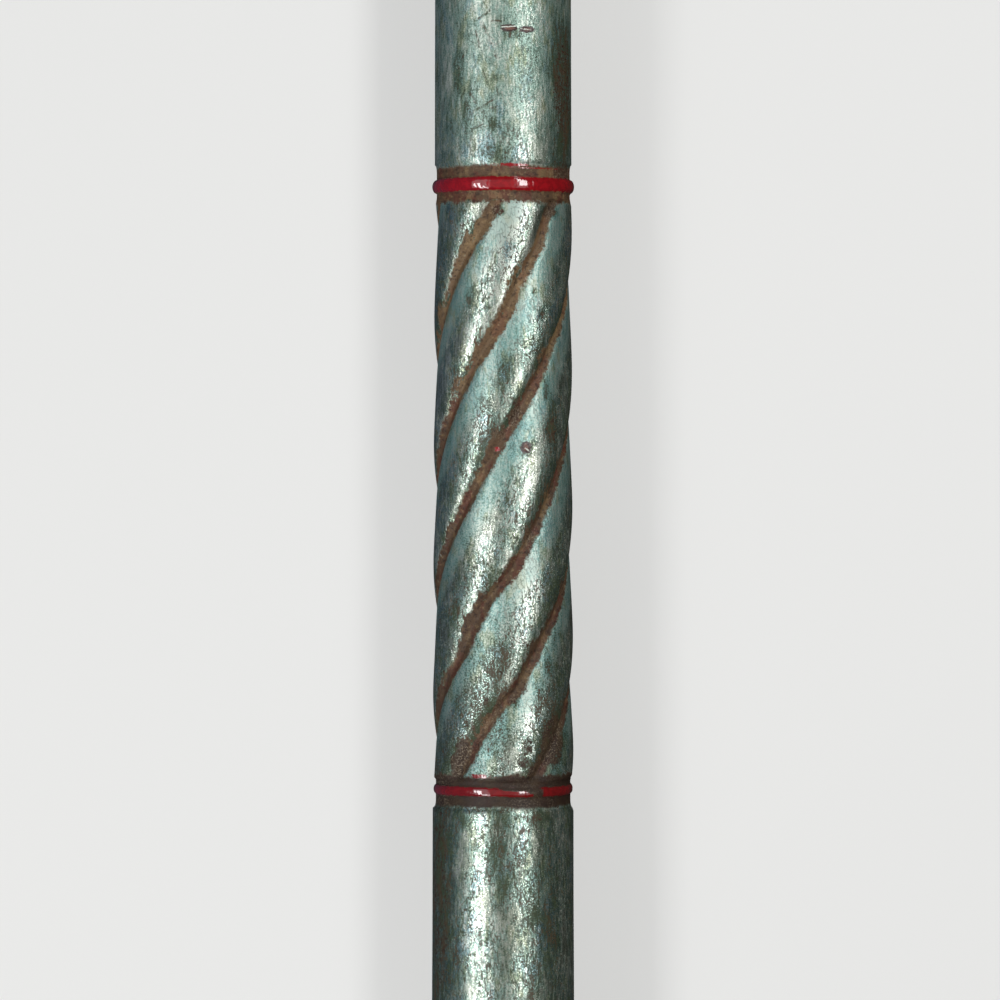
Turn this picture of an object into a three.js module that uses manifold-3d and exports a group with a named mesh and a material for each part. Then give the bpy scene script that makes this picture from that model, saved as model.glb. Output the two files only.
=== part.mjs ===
// A carved and painted wooden staff of office, lying down as it is set aside between uses.
// It is one piece of wood: a foot, plain lengths and rope-carved lengths divided by banded rings,
// and a turned head with a domed knop. Millimetres, +Z up, the head towards +Y.
import * as THREE from "three";
import { mergeVertices } from "three/addons/utils/BufferGeometryUtils.js";
import Module from "manifold-3d";

// Lengths along the staff.
const FOOT_LENGTH = 46;
const FOOT_ROUNDING_LENGTH = 17;
const FOOT_LAND_LENGTH = 10;
const LOWEST_PLAIN_LENGTH = 180;
const MIDDLE_PLAIN_LENGTH = 210;
const NECK_PLAIN_LENGTH = 170;
const ROPE_LENGTH = 148;
const RING_COVE_LENGTH = 2.9;
const RING_BEAD_LENGTH = 3.4;

// Diameters of the shaft, which swells from the foot to the belly and thins to the neck.
const FOOT_END_DIAMETER = 20;
const FOOT_DIAMETER = 39;
const ANKLE_DIAMETER = 33;
const BELLY_DIAMETER = 37.8;
const NECK_DIAMETER = 32;

// Depth of the carving below the shaft's surface, and the rings' beads above it.
const RING_COVE_DEPTH = 0.8;
const RING_BEAD_RISE = 0.2;
const STRAND_ROUNDING = 0.75;
const GROOVE_DEPTH = 0.85;
const GROOVE_HALF_WIDTH = 1.7;

// The rope carving: strands side by side, turning as a right-hand screw, a little quicker at the foot side.
// The phase is where the middle rope's grooves start, as a share of the angle between two grooves.
const STRANDS = 5;
const ROPE_TURN_DEG = 329;
const ROPE_QUICKENING = 0.105;
const MIDDLE_ROPE_PHASE = 0.27;

// The head: a flared collar, a bead, a waist and a knop. The flare stays slim up to its bend.
const FLARE_LENGTH = 24;
const FLARE_BEND_SHARE = 0.8;
const COLLAR_DIAMETER = 42;
const COLLAR_LIP_LENGTH = 4;
const COLLAR_STEP = 1.2;
const HEAD_BEAD_LENGTH = 7;
const WAIST_LENGTH = 12;
const WAIST_DIAMETER = 27;
const KNOP_LENGTH = 58;
const KNOP_DIAMETER = 48;
const KNOP_WIDEST_SHARE = 0.46;
const KNOP_TIP_DIAMETER = 14;

// The two worn flats that the staff lies on, under the foot and under the knop.
const REST_FLAT_DEPTH = 0.65;

// How finely the surface is divided. A groove's shoulder is a corner line beside it, at this many of its
// half widths, and the flank lies this share of the way from there to the strand's crest.
const ROPE_STEPS = 19;
const PLAIN_STEPS = 3;
const LONG_CURVE_STEPS = 6;
const SHORT_CURVE_STEPS = 4;
const SHOULDER_HALF_WIDTHS = 1.3;
const FLANK_SHARE = 0.45;

const STRAND_ANGLE = (2 * Math.PI) / STRANDS;
const ROPE_TURN = THREE.MathUtils.degToRad(ROPE_TURN_DEG);
const RING_LENGTH = 2 * RING_COVE_LENGTH + RING_BEAD_LENGTH;
const mix = THREE.MathUtils.lerp;
const clamp = THREE.MathUtils.clamp;

// The staff's stretches in order from the foot. Each knows where it starts and ends.
function layOut() {
  const order = [
    ["foot", FOOT_LENGTH],
    ["ring", RING_LENGTH],
    ["plain", LOWEST_PLAIN_LENGTH],
    ["ring", RING_LENGTH],
    ["rope", ROPE_LENGTH],
    ["ring", RING_LENGTH],
    ["plain", MIDDLE_PLAIN_LENGTH],
    ["ring", RING_LENGTH],
    ["rope", ROPE_LENGTH],
    ["ring", RING_LENGTH],
    ["plain", MIDDLE_PLAIN_LENGTH],
    ["ring", RING_LENGTH],
    ["rope", ROPE_LENGTH],
    ["ring", RING_LENGTH],
    ["plain", NECK_PLAIN_LENGTH],
    ["ring", RING_LENGTH],
    ["head", FLARE_LENGTH + COLLAR_LIP_LENGTH + HEAD_BEAD_LENGTH + WAIST_LENGTH + KNOP_LENGTH],
  ];
  let start = 0;
  return order.map(([kind, length]) => {
    const stretch = { kind, start, end: start + length };
    start = stretch.end;
    return stretch;
  });
}

const stretches = layOut();
const ropes = stretches.filter(({ kind }) => kind === "rope");
const STAFF_LENGTH = stretches.at(-1).end;
const HEAD_AT = stretches.at(-1).start;
const BELLY_AT = ropes[0].end + RING_LENGTH / 2;
const FOOT_WIDEST_AT = FOOT_ROUNDING_LENGTH + FOOT_LAND_LENGTH / 2;
const KNOP_WIDEST_AT = STAFF_LENGTH - KNOP_LENGTH * (1 - KNOP_WIDEST_SHARE);

// Radius of the uncarved shaft at a distance from the foot's end: eased up to the belly, then a
// straight taper.
function shaftRadius(at) {
  const [ankle, belly, neck] = [ANKLE_DIAMETER / 2, BELLY_DIAMETER / 2, NECK_DIAMETER / 2];
  if (at < BELLY_AT) {
    const share = clamp((at - FOOT_LENGTH) / (BELLY_AT - FOOT_LENGTH), 0, 1);
    return mix(ankle, belly, Math.sin((share * Math.PI) / 2));
  }
  return mix(belly, neck, clamp((at - BELLY_AT) / (HEAD_AT - BELLY_AT), 0, 1));
}

// How far the grooves have turned at a distance from the foot's end. They stand still between the ropes.
function turnAt(at) {
  const untilMiddle = MIDDLE_ROPE_PHASE * STRAND_ANGLE - ROPE_TURN;
  return ropes.reduce((turn, { start, end }) => {
    const share = clamp((at - start) / (end - start), 0, 1);
    return turn + ROPE_TURN * (share + ROPE_QUICKENING * share * (1 - share));
  }, untilMiddle);
}

const isRope = (at) => ropes.some(({ start, end }) => at >= start && at <= end);

// Depth of the carving at an angle from the nearest groove: a rounded strand and a cut groove.
function ropeDepth(angle, radius) {
  const towardsCrest = 1 - angle / (STRAND_ANGLE / 2);
  const fromGroove = (angle * radius) / GROOVE_HALF_WIDTH;
  return STRAND_ROUNDING * towardsCrest ** 2 + GROOVE_DEPTH * Math.exp(-(fromGroove ** 2));
}

// Angles of one strand's corners from its groove: close together at the groove, wide on the crest.
function strandAngles(radius) {
  const shoulder = (GROOVE_HALF_WIDTH * SHOULDER_HALF_WIDTHS) / radius;
  const flank = mix(shoulder, STRAND_ANGLE / 2, FLANK_SHARE);
  return [0, shoulder, flank, STRAND_ANGLE / 2, STRAND_ANGLE - flank, STRAND_ANGLE - shoulder];
}

// The outline is a run of points (distance from the foot's end, radius), with one function for each kind
// of stretch.
const point = (at, radius) => new THREE.Vector2(at, radius);

// Quarters of an ellipse that swell from (at1, radius1) to (at2, radius2), or close in from there.
function swell(at1, radius1, at2, radius2) {
  return new THREE.EllipseCurve(at2, radius1, at2 - at1, radius2 - radius1, Math.PI, Math.PI / 2, true);
}

function closeIn(at1, radius1, at2, radius2) {
  return new THREE.EllipseCurve(at1, radius2, at2 - at1, radius1 - radius2, Math.PI / 2, 0, true);
}

function footPoints() {
  const widest = FOOT_DIAMETER / 2;
  const ankle = ANKLE_DIAMETER / 2;
  const landEnd = FOOT_ROUNDING_LENGTH + FOOT_LAND_LENGTH;
  const halfway = mix(landEnd, FOOT_LENGTH, 0.5);
  const taper = new THREE.CubicBezierCurve(
    point(landEnd, widest),
    point(halfway, widest),
    point(halfway, ankle),
    point(FOOT_LENGTH, ankle),
  );
  return [
    ...swell(0, FOOT_END_DIAMETER / 2, FOOT_ROUNDING_LENGTH, widest).getPoints(LONG_CURVE_STEPS),
    ...taper.getPoints(SHORT_CURVE_STEPS).slice(0, -1),
  ];
}

function ringPoints(start, end) {
  const surface = shaftRadius((start + end) / 2);
  const coveBottom = surface - RING_COVE_DEPTH;
  const beadTop = surface + RING_BEAD_RISE;
  const beadStart = start + RING_COVE_LENGTH;
  const beadEnd = end - RING_COVE_LENGTH;
  const beadShoulder = RING_BEAD_LENGTH / 4;
  return [
    point(start, shaftRadius(start)),
    point(start + RING_COVE_LENGTH / 3, coveBottom),
    point(beadStart, coveBottom),
    point(beadStart + beadShoulder, beadTop),
    point(beadEnd - beadShoulder, beadTop),
    point(beadEnd, coveBottom),
    point(end - RING_COVE_LENGTH / 3, coveBottom),
    point(end, shaftRadius(end)),
  ];
}

// The points between two rings, where the radius follows the shaft.
function shaftPoints(start, end, steps) {
  return Array.from({ length: steps - 1 }, (_, i) => {
    const at = mix(start, end, (i + 1) / steps);
    return point(at, shaftRadius(at));
  });
}

function headPoints(start) {
  const [neck, collar] = [NECK_DIAMETER / 2, COLLAR_DIAMETER / 2];
  const [waist, widest, tip] = [WAIST_DIAMETER / 2, KNOP_DIAMETER / 2, KNOP_TIP_DIAMETER / 2];
  const lip = start + FLARE_LENGTH;
  const bead = lip + COLLAR_LIP_LENGTH;
  const waistStart = bead + HEAD_BEAD_LENGTH;
  const knopStart = waistStart + WAIST_LENGTH;
  const flareBend = point(mix(start, lip, FLARE_BEND_SHARE), neck);
  const flare = new THREE.QuadraticBezierCurve(point(start, neck), flareBend, point(lip, collar));
  const beadFoot = collar - COLLAR_STEP;
  const halfBead = HEAD_BEAD_LENGTH / 2;
  const beadArc = new THREE.EllipseCurve(bead + halfBead, beadFoot, halfBead, COLLAR_STEP, Math.PI, 0, true);
  const hollow = new THREE.CubicBezierCurve(
    point(waistStart, beadFoot - COLLAR_STEP),
    point(waistStart + WAIST_LENGTH / 3, waist),
    point(knopStart - WAIST_LENGTH / 3, waist),
    point(knopStart, waist),
  );
  return [
    ...flare.getPoints(SHORT_CURVE_STEPS).slice(1),
    point(bead, collar),
    ...beadArc.getPoints(SHORT_CURVE_STEPS),
    ...hollow.getPoints(SHORT_CURVE_STEPS).slice(0, -1),
    ...swell(knopStart, waist, KNOP_WIDEST_AT, widest).getPoints(LONG_CURVE_STEPS),
    ...closeIn(KNOP_WIDEST_AT, widest, STAFF_LENGTH, tip).getPoints(LONG_CURVE_STEPS).slice(1),
  ];
}

function outline() {
  const pointsOf = {
    foot: footPoints,
    ring: ringPoints,
    plain: (start, end) => shaftPoints(start, end, PLAIN_STEPS),
    rope: (start, end) => shaftPoints(start, end, ROPE_STEPS),
    head: headPoints,
  };
  const surface = stretches.flatMap(({ kind, start, end }) => pointsOf[kind](start, end));
  return [point(0, 0), ...surface, point(STAFF_LENGTH, 0)];
}

// Turns the outline round the Y axis, and carves the strands into its rope stretches.
function staffGeometry() {
  const rows = outline();
  const sidesPerStrand = strandAngles(1).length;
  const sides = STRANDS * sidesPerStrand;
  const geometry = new THREE.LatheGeometry(rows.map(({ x: at, y: radius }) => point(radius, at)), sides);
  const position = geometry.getAttribute("position");
  for (let side = 0; side <= sides; side++) {
    const column = side % sides;
    const strand = Math.floor(column / sidesPerStrand);
    rows.forEach(({ x: at, y: outer }, row) => {
      let angle = (column * 2 * Math.PI) / sides;
      let radius = outer;
      if (isRope(at)) {
        const inStrand = strandAngles(outer)[column % sidesPerStrand];
        angle = strand * STRAND_ANGLE + inStrand;
        radius -= ropeDepth(Math.min(inStrand, STRAND_ANGLE - inStrand), outer);
      }
      angle += turnAt(at);
      position.setXYZ(side * rows.length + row, radius * Math.sin(angle), at, radius * Math.cos(angle));
    });
  }
  return geometry;
}

// Lays the staff on the ground, z = 0. It touches at the foot and at the wider knop, so its head lies a
// little higher.
function layDown(geometry) {
  const tilt = Math.atan2((KNOP_DIAMETER - FOOT_DIAMETER) / 2, KNOP_WIDEST_AT - FOOT_WIDEST_AT);
  geometry.translate(0, -FOOT_WIDEST_AT, 0);
  geometry.rotateX(tilt);
  geometry.translate(0, 0, FOOT_DIAMETER / 2 - REST_FLAT_DEPTH);
  geometry.computeBoundingBox();
  const { min, max } = geometry.boundingBox;
  geometry.translate(0, -(min.y + max.y) / 2, 0);
  return geometry;
}

const wasm = await Module();
wasm.setup();

function toSolid(geometry) {
  geometry.deleteAttribute("normal");
  geometry.deleteAttribute("uv");
  const merged = mergeVertices(geometry);
  const mesh = new wasm.Mesh({
    numProp: 3,
    vertProperties: merged.attributes.position.array,
    triVerts: new Uint32Array(merged.index.array),
  });
  return new wasm.Manifold(mesh);
}

function toGeometry(solid) {
  const { vertProperties, triVerts } = solid.getMesh();
  const geometry = new THREE.BufferGeometry();
  geometry.setAttribute("position", new THREE.BufferAttribute(vertProperties, 3));
  geometry.setIndex(new THREE.BufferAttribute(triVerts, 1));
  geometry.computeVertexNormals();
  return geometry;
}

// Planes off what would reach below the ground: the two small flats that keep the staff from rolling.
function withRestFlats(geometry) {
  const ground = new THREE.BoxGeometry(2 * KNOP_DIAMETER, 2 * STAFF_LENGTH, KNOP_DIAMETER);
  ground.translate(0, 0, -KNOP_DIAMETER / 2);
  return toGeometry(toSolid(geometry).subtract(toSolid(ground)));
}

const paintedWood = new THREE.MeshStandardMaterial({ color: 0x8fa89f, roughness: 0.42, metalness: 0.45 });

const staff = new THREE.Mesh(withRestFlats(layDown(staffGeometry())), paintedWood);
staff.name = "staff";

const model = new THREE.Group();
model.add(staff);

export default model;
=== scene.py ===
"""A carved and painted wooden staff of office, lying on a pale studio floor.

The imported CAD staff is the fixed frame. One finely carved mesh takes its place, with worn, varnished
paint over brown wood in one material. Lengths here are in millimetres, and become metres at the end.
"""

import math
from types import SimpleNamespace

import bpy
import numpy as np
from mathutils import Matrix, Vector, noise


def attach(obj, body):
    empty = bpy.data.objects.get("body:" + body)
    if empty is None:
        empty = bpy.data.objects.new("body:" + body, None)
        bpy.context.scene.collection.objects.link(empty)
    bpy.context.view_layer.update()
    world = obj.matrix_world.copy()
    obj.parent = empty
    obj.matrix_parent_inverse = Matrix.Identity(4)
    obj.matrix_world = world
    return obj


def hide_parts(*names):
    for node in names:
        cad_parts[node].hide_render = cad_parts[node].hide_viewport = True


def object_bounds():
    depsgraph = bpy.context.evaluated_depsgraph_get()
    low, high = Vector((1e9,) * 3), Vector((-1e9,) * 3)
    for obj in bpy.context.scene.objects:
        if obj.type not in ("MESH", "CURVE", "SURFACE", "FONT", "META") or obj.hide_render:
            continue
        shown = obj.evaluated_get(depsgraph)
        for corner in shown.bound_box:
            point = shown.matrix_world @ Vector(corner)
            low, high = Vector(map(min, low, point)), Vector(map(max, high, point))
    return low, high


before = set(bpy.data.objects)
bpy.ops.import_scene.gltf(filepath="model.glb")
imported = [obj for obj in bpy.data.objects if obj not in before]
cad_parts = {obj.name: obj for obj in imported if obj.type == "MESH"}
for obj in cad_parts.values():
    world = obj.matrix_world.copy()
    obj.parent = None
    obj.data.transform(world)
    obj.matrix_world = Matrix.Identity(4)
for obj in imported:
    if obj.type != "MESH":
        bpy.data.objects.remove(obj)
cad_low, cad_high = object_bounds()

MM = 0.001


def srgb(red, green, blue):
    """A colour given as 0 to 255 on screen, as Blender's linear light."""
    shares = [channel / 255 for channel in (red, green, blue)]
    linear = [c / 12.92 if c <= 0.04045 else ((c + 0.055) / 1.055) ** 2.4 for c in shares]
    return (*linear, 1.0)


# The staff's own sizes, as in the part.
FOOT_LENGTH = 46
FOOT_ROUNDING_LENGTH = 17
FOOT_LAND_LENGTH = 10
LOWEST_PLAIN_LENGTH = 180
MIDDLE_PLAIN_LENGTH = 210
NECK_PLAIN_LENGTH = 170
ROPE_LENGTH = 148
RING_LENGTH = 9.2
FOOT_END_DIAMETER = 20
FOOT_DIAMETER = 39
ANKLE_DIAMETER = 33
BELLY_DIAMETER = 37.8
NECK_DIAMETER = 32
FLARE_LENGTH = 24
FLARE_BEND_SHARE = 0.8
COLLAR_DIAMETER = 42
COLLAR_LIP_LENGTH = 4
COLLAR_STEP = 1.2
HEAD_BEAD_LENGTH = 7
WAIST_LENGTH = 12
WAIST_DIAMETER = 27
KNOP_LENGTH = 58
KNOP_DIAMETER = 48
KNOP_WIDEST_SHARE = 0.46
KNOP_TIP_DIAMETER = 14
REST_FLAT_DEPTH = 0.65
STRANDS = 5
ROPE_TURN = math.radians(329)
ROPE_QUICKENING = 0.105
MIDDLE_ROPE_PHASE = 0.27
STRAND_ANGLE = 2 * math.pi / STRANDS
STRAND_ROUNDING = 1.1
RIDGE_SHARE = 0.7
RIDGE_SOFTNESS = 0.15
GROOVE_DEPTH = 0.65
COVE_WALL_SHARE = 0.55

# A ring is a cove, a bead and a cove. These are their lengths from the foot's side.
RING_PARTS = (2.9, 3.4, 2.9)
RING_PARTS_BELOW_MIDDLE_ROPE = (3.8, 2.4, 1.8)
RING_PARTS_ABOVE_MIDDLE_ROPE = (2.3, 3.6, 3.9)

# Each ring's cove depth, its bead's rise above the turned surface, and how far the paint reaches over its
# edges on the foot's and the head's side.
RING_FORM = (0.8, 0.2, 0.12, 0.12)
RING_FORM_BELOW_MIDDLE_ROPE = (0.8, -0.2, 0.9, -1.2)
RING_FORM_ABOVE_MIDDLE_ROPE = (0.5, 0.65, -0.6, 1.05)
HIGHEST_RISE = RING_FORM_ABOVE_MIDDLE_ROPE[1]

# The mesh: columns round each strand, closer at its groove, and rows at these distances, which are
# closest in the stretch that the camera shows.
COLUMNS_PER_STRAND = 30
GROOVE_CROWDING = 0.45
ROW_STEPS = {"foot": 2.3, "ring": 0.8, "plain": 16, "rope": 3.8, "head": 2.2}
SHOWN_ROW_STEP = 0.72
SHOWN_RING_ROW_STEP = 0.36
SHOWN_STRETCH = (561, 823)
CURVE_SAMPLES = 200

# The hand's unevenness, always below the turned surface.
WAVER_DEPTH = 0.16
WAVER_ACROSS = 6.5
WAVER_ALONG = 34
GROOVE_WANDER = 0.55
GROOVE_WANDER_LENGTH = 17
GROOVE_UNEVENNESS = 0.25
WANDER_SEPARATION = 7.3
GOUGE_NEAR_WIDTH = 1.45
GOUGE_FAR_WIDTH = 2.1
RING_WANDER = 0.22
HEAD_SLACK = 0.8

# A dent's raised rim: its height as a share of the dent's depth, and its place and width as shares of the
# dent's reach.
RIM_SHARE = 0.2
RIM_REACH = 1.15
RIM_WIDTH = 0.22

# How far the carver let each groove of the middle rope stray, as (distance from the foot, stray round
# the staff), by the groove's number.
GROOVE_STRAYS = (
    ((626, 2.4), (640, 1.6), (680, 1.0), (752, 1.0), (760, 1.7)),
    ((734, 0.0), (741, -0.4), (749, -2.1), (756, -1.8), (765, -3.8)),
    ((682, -0.8), (697, -1.4), (714, -2.1), (724, -3.0), (731, -3.4), (740, -2.4)),
    ((646, 1.9), (652, 2.4), (658, 1.2), (665, 0.3), (674, 1.8), (682, 0.7), (692, 0.0), (702, -1.2)),
    ((625, 2.0), (631, 1.0), (637, 0.6), (644, 2.7), (652, 1.4), (668, 0.2)),
)

# Where the paint ends: the middle and half the width of a groove's bare band, which spreads at the foot's
# side of the middle rope.
GROOVE_BAND_MIDDLE = 0.25
GROOVE_BAND_HALF_WIDTH = 2.0
GROOVE_BAND_SPREAD = 0.45
SPREAD_STRETCH = (622, 690)

# Grime covers the staff from the foot up to this stretch, over which it thins out. The smooth lengths have
# less of it than the rings, where it spills over the edges.
GRIME_STRETCH = (610, 725)
SMOOTH_GRIME = 0.45
GRIME_SPILL = 1.4

# How far the mesh tells distances from an edge, a knot and a groove.
EDGE_REACH = 4
KNOT_REACH = 4
OUT_OF_REACH = 30

# The red's share of a bead's width, and where a patch fades out, as shares of its reach.
RED_SHARE = 0.94
PATCH_FADE = (0.5, 1.3)

# Marks on the surface, each at a distance from the foot and degrees round from the top, positive towards
# +X. Dents are (at, degrees, half the length across, half the length along, depth).
DENTS = (
    (812.4, 4.5, 2.1, 0.85, 0.55),
    (812.4, 21.5, 2.0, 0.7, 0.42),
    (810.6, 10.0, 2.3, 0.8, 0.22),
    (705.2, 20.5, 1.6, 1.5, 0.38),
    (739.7, 35.4, 1.1, 2.5, 0.4),
    (745.4, 27.7, 0.8, 0.8, 0.25),
    (748.4, -14.0, 1.3, 1.0, 0.2),
    (627.3, 18.3, 2.3, 4.6, 0.16),
    (635.1, -31.4, 1.0, 1.3, 0.25),
    (607.2, 4.0, 0.8, 0.8, 0.2),
)

# Bare round spots, darker at their rims, are (at, degrees, half the length across, half the length along).
KNOTS = (
    (705.6, 19.5, 1.35, 1.45),
    (812.4, 5.0, 1.9, 0.85),
    (812.1, 20.5, 2.0, 0.75),
)

# Patches of worn paint are (at, degrees, half the length across, half the length along, strength).
WORN_PATCHES = (
    (796.7, 63.0, 7.6, 21.0, 0.8),
    (801.5, -41.4, 1.8, 7.0, 0.7),
    (780.5, -5.0, 4.4, 2.5, 0.62),
    (811.0, 10.0, 3.6, 1.6, 0.7),
    (609.9, -31.4, 1.8, 2.4, 0.6),
    (608.5, 1.6, 2.0, 4.8, 0.55),
    (611.2, 29.5, 3.6, 1.8, 0.75),
    (581.2, -15.5, 2.4, 2.2, 0.5),
    (590.0, 45.0, 2.8, 32.0, 0.5),
    (589.6, -66.0, 7.5, 44.0, 0.76),
    (586.4, 20.0, 7.5, 40.0, 0.38),
    (604.3, -3.0, 2.4, 9.0, 0.62),
    (590.3, 0.0, 1.8, 7.0, 0.6),
    (630.6, 47.0, 7.0, 9.5, 0.88),
    (629.8, 20.5, 2.0, 3.4, 0.84),
    (625.6, 17.0, 2.8, 2.6, 0.82),
    (623.6, 22.5, 1.8, 2.2, 0.8),
    (635.1, -31.4, 1.6, 1.8, 0.8),
    (641.7, -16.0, 6.0, 16.0, 0.45),
    (646.0, -9.0, 3.0, 5.0, 0.66),
    (652.0, 3.0, 2.6, 3.6, 0.62),
    (632.0, -4.0, 4.0, 4.0, 0.62),
    (641.0, 30.0, 1.6, 5.0, 0.64),
    (648.9, -0.8, 1.6, 2.3, 0.78),
    (640.8, -13.2, 1.8, 2.2, 0.78),
    (628.6, -36.9, 3.0, 3.2, 0.88),
    (640.8, 10.7, 1.6, 2.4, 0.78),
    (629.1, -9.0, 2.4, 2.8, 0.7),
    (649.7, 42.0, 1.6, 2.6, 0.78),
    (664.2, -42.0, 1.6, 3.2, 0.72),
    (715.1, 9.9, 2.6, 6.0, 0.76),
    (683.0, 25.0, 2.0, 3.0, 0.66),
    (710.0, 45.6, 2.2, 6.0, 0.76),
    (721.5, 40.0, 1.6, 4.0, 0.72),
    (804.0, -38.0, 1.6, 5.0, 0.68),
    (791.0, -33.0, 1.4, 4.0, 0.64),
    (744.0, -28.0, 1.6, 3.0, 0.68),
    (710.5, -4.0, 3.0, 2.6, 0.7),
    (650.6, 4.0, 3.0, 5.0, 0.5),
    (739.7, 35.4, 1.2, 2.5, 0.8),
    (745.4, 27.7, 1.0, 0.9, 0.9),
    (705.2, 20.5, 1.7, 1.6, 0.9),
    (748.4, -14.0, 1.4, 1.0, 0.6),
    (724.5, 2.0, 2.4, 6.0, 0.45),
    (757.1, 4.0, 1.3, 4.4, 0.6),
    (775.5, 62.0, 6.0, 5.0, 0.8),
    (624.8, -43.0, 2.7, 4.4, 0.92),
    (766.0, -4.0, 2.4, 2.0, 0.9),
    (766.0, 45.0, 4.0, 2.0, 0.9),
    (787.7, -9.0, 1.4, 2.0, 0.72),
)

# Patches where the paint stayed fresh and is painted paler as painted highlights along the strands' ridges,
# given as the worn ones are.
FRESH_AND_HIGHLIT_PATCHES = (
    (757.1, 9.0, 5.0, 17.0, 1.0),
    (752.0, -3.0, 4.0, 8.0, 0.6),
    (672.0, 21.0, 4.0, 12.0, 0.8),
    (640.0, 22.0, 2.0, 14.0, 0.8),
)

# Strokes of red beside the beads, and gaps worn through the red, are given as the bare spots are.
RED_STROKES = (
    (777.6, 7.5, 4.6, 0.32),
    (776.9, 30.0, 5.0, 0.15),
    (621.8, -21.0, 3.8, 0.5),
    (705.2, -5.5, 0.9, 0.6),
)
RED_GAPS = (
    (618.3, 27.0, 2.4, 0.9),
    (617.4, 30.5, 1.5, 1.3),
    (618.6, 12.0, 5.0, 0.5),
)

# Scratches through the paint, as strokes between points (x from the axis, y from the shown middle) with half
# their width.
SCRATCHES = (
    ((-7.9, 98.9), (-2.2, 101.9), 0.28),
    ((-1.1, 102.9), (-1.7, 105.0), 0.18),
    ((-5.3, 121.4), (-3.0, 116.2), 0.32),
    ((-6.9, 119.4), (-5.9, 115.2), 0.24),
    ((-6.2, 122.6), (-3.4, 124.6), 0.26),
    ((-3.0, 121.9), (-0.6, 121.8), 0.22),
    ((-5.0, 126.9), (-3.9, 125.5), 0.16),
    ((-8.3, 103.6), (-7.2, 101.2), 0.22),
    ((-10.8, 102.4), (-9.7, 104.8), 0.16),
    ((-5.1, 109.4), (-4.1, 106.4), 0.16),
    ((-3.3, 99.6), (-1.5, 100.2), 0.26),
    ((-8.0, 94.6), (-5.2, 95.4), 0.2),
    ((-1.9, 112.9), (-1.7, 112.6), 0.3),
    ((-2.1, 107.8), (-1.9, 107.5), 0.3),
)
SCRATCH_WOBBLE = 1.4

# Where a stroke fades out, as shares of half its width.
STROKE_FADE = (0.5, 1.6)

# Painted highlights: pale strokes painted as glints in the nick's two dents and in the middle of the knot.
PAINTED_GLINTS = (
    ((-0.3, 120.4), (3.1, 120.6), 0.13),
    ((4.6, 120.0), (7.0, 119.8), 0.12),
    ((5.7, 13.2), (6.6, 12.5), 0.14),
)

# Colours as they show on screen.
# Pale paint. It is also the colour of the painted glints, and of the paint that is painted paler under
# highlights.
PAINT_PALE_AND_HIGHLIGHT = srgb(212, 218, 206)
PAINT_MIDDLE = srgb(138, 164, 152)
PAINT_DARK = srgb(72, 96, 84)
PAINT_AQUA = srgb(122, 164, 158)
PAINT_BLUE = srgb(116, 150, 164)
PAINT_OLIVE = srgb(132, 136, 96)
PAINT_BUFF = srgb(160, 146, 124)
PIT_OLIVE = srgb(54, 62, 42)
PIT_BROWN = srgb(68, 56, 40)
WOOD_BROWN = srgb(84, 64, 46)
WOOD_RED = srgb(90, 50, 38)
WOOD_TAN = srgb(142, 118, 82)
WOOD_DARK = srgb(36, 25, 18)
RED_DEEP = srgb(100, 10, 16)
RED_BRIGHT = srgb(146, 18, 26)
KNOT_RIM = srgb(54, 38, 34)
KNOT_CORE = srgb(108, 76, 66)

# The paint's finish, by the distance from the foot: glossy below the middle rope and matt above it.
GLOSSY_STRETCH = (624.2, 614.2)
MATT_STRETCH = (765, 800)

# The noises in the paint and the wood: the stretch for each axis, the scale, the detail, the roughness and
# the distortion.
NOISES = {
    "grit": ((1.0, 1.0, 1.0), 2.5, 3.0, 0.65, 0.45),
    "fibre": ((1.0, 0.17, 1.0), 1.7, 3.0, 0.6, 0.0),
    "ragged": ((1.0, 1.0, 1.0), 0.9, 3.0, 0.6, 0.0),
    "broad": ((1.0, 0.5, 1.0), 0.2, 3.0, 0.6, 0.0),
    "tint": ((1.0, 0.4, 1.0), 0.33, 3.0, 0.6, 0.0),
    "hue": ((0.8, 0.35, -0.8), 0.2, 3.0, 0.65, 0.0),
    "cracks": ((1.0, 0.5, 1.0), 0.7, 2.0, 0.6, 0.4),
    "enamel": ((1.0, 0.6, 1.0), 0.75, 1.0, 0.5, 0.0),
}
NOISE_MIDDLE = 0.5

# What the mesh's points carry for the material.
CARRIED = ("bare", "red", "past_groove", "before_groove", "worn", "fresh_and_highlit", "grime", "knot")

# How far an edge strays, in millimetres: a start, and what each value adds for its weight.
WOOD_STRAY_START = -4.6
WOOD_STRAY = {"broad": 4.0, "ragged": 2.2, "grit": 3.0}
PATCH_STRAY_START = -7.28
PATCH_STRAY = {"mottle": 4.0, "tint": 14.0}
WORN_STRAY_START = 4.0
WORN_STRAY = {"grit": 8.0, "mottle": 7.0, "worn": -10.0}
RED_STRAY = {"mottle": 1.0}
KNOT_STRAY = {"mottle": 1.2}

# How dark and worn the paint is, as a level made in the same way. A softer finish draws it to its middle.
LEVEL_START = -0.045
LEVEL_BY_GRAIN = {"grain": 1.0, "broad": 0.34}
LEVEL_MIDDLE = 0.61
LEVEL_SOFTENING = 0.25
# The fresh patches lower the level. This gives fresher paint, and also paler paint as painted highlights on
# the strands' ridges.
LEVEL_BY_PLACE = {"worn": 0.14, "beside_groove": 0.07, "clean": -0.03, "fresh_and_highlit": -0.1}
STAIN_START = -0.41
STAIN_BY_GRIT = {"grit": 0.9}

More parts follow.
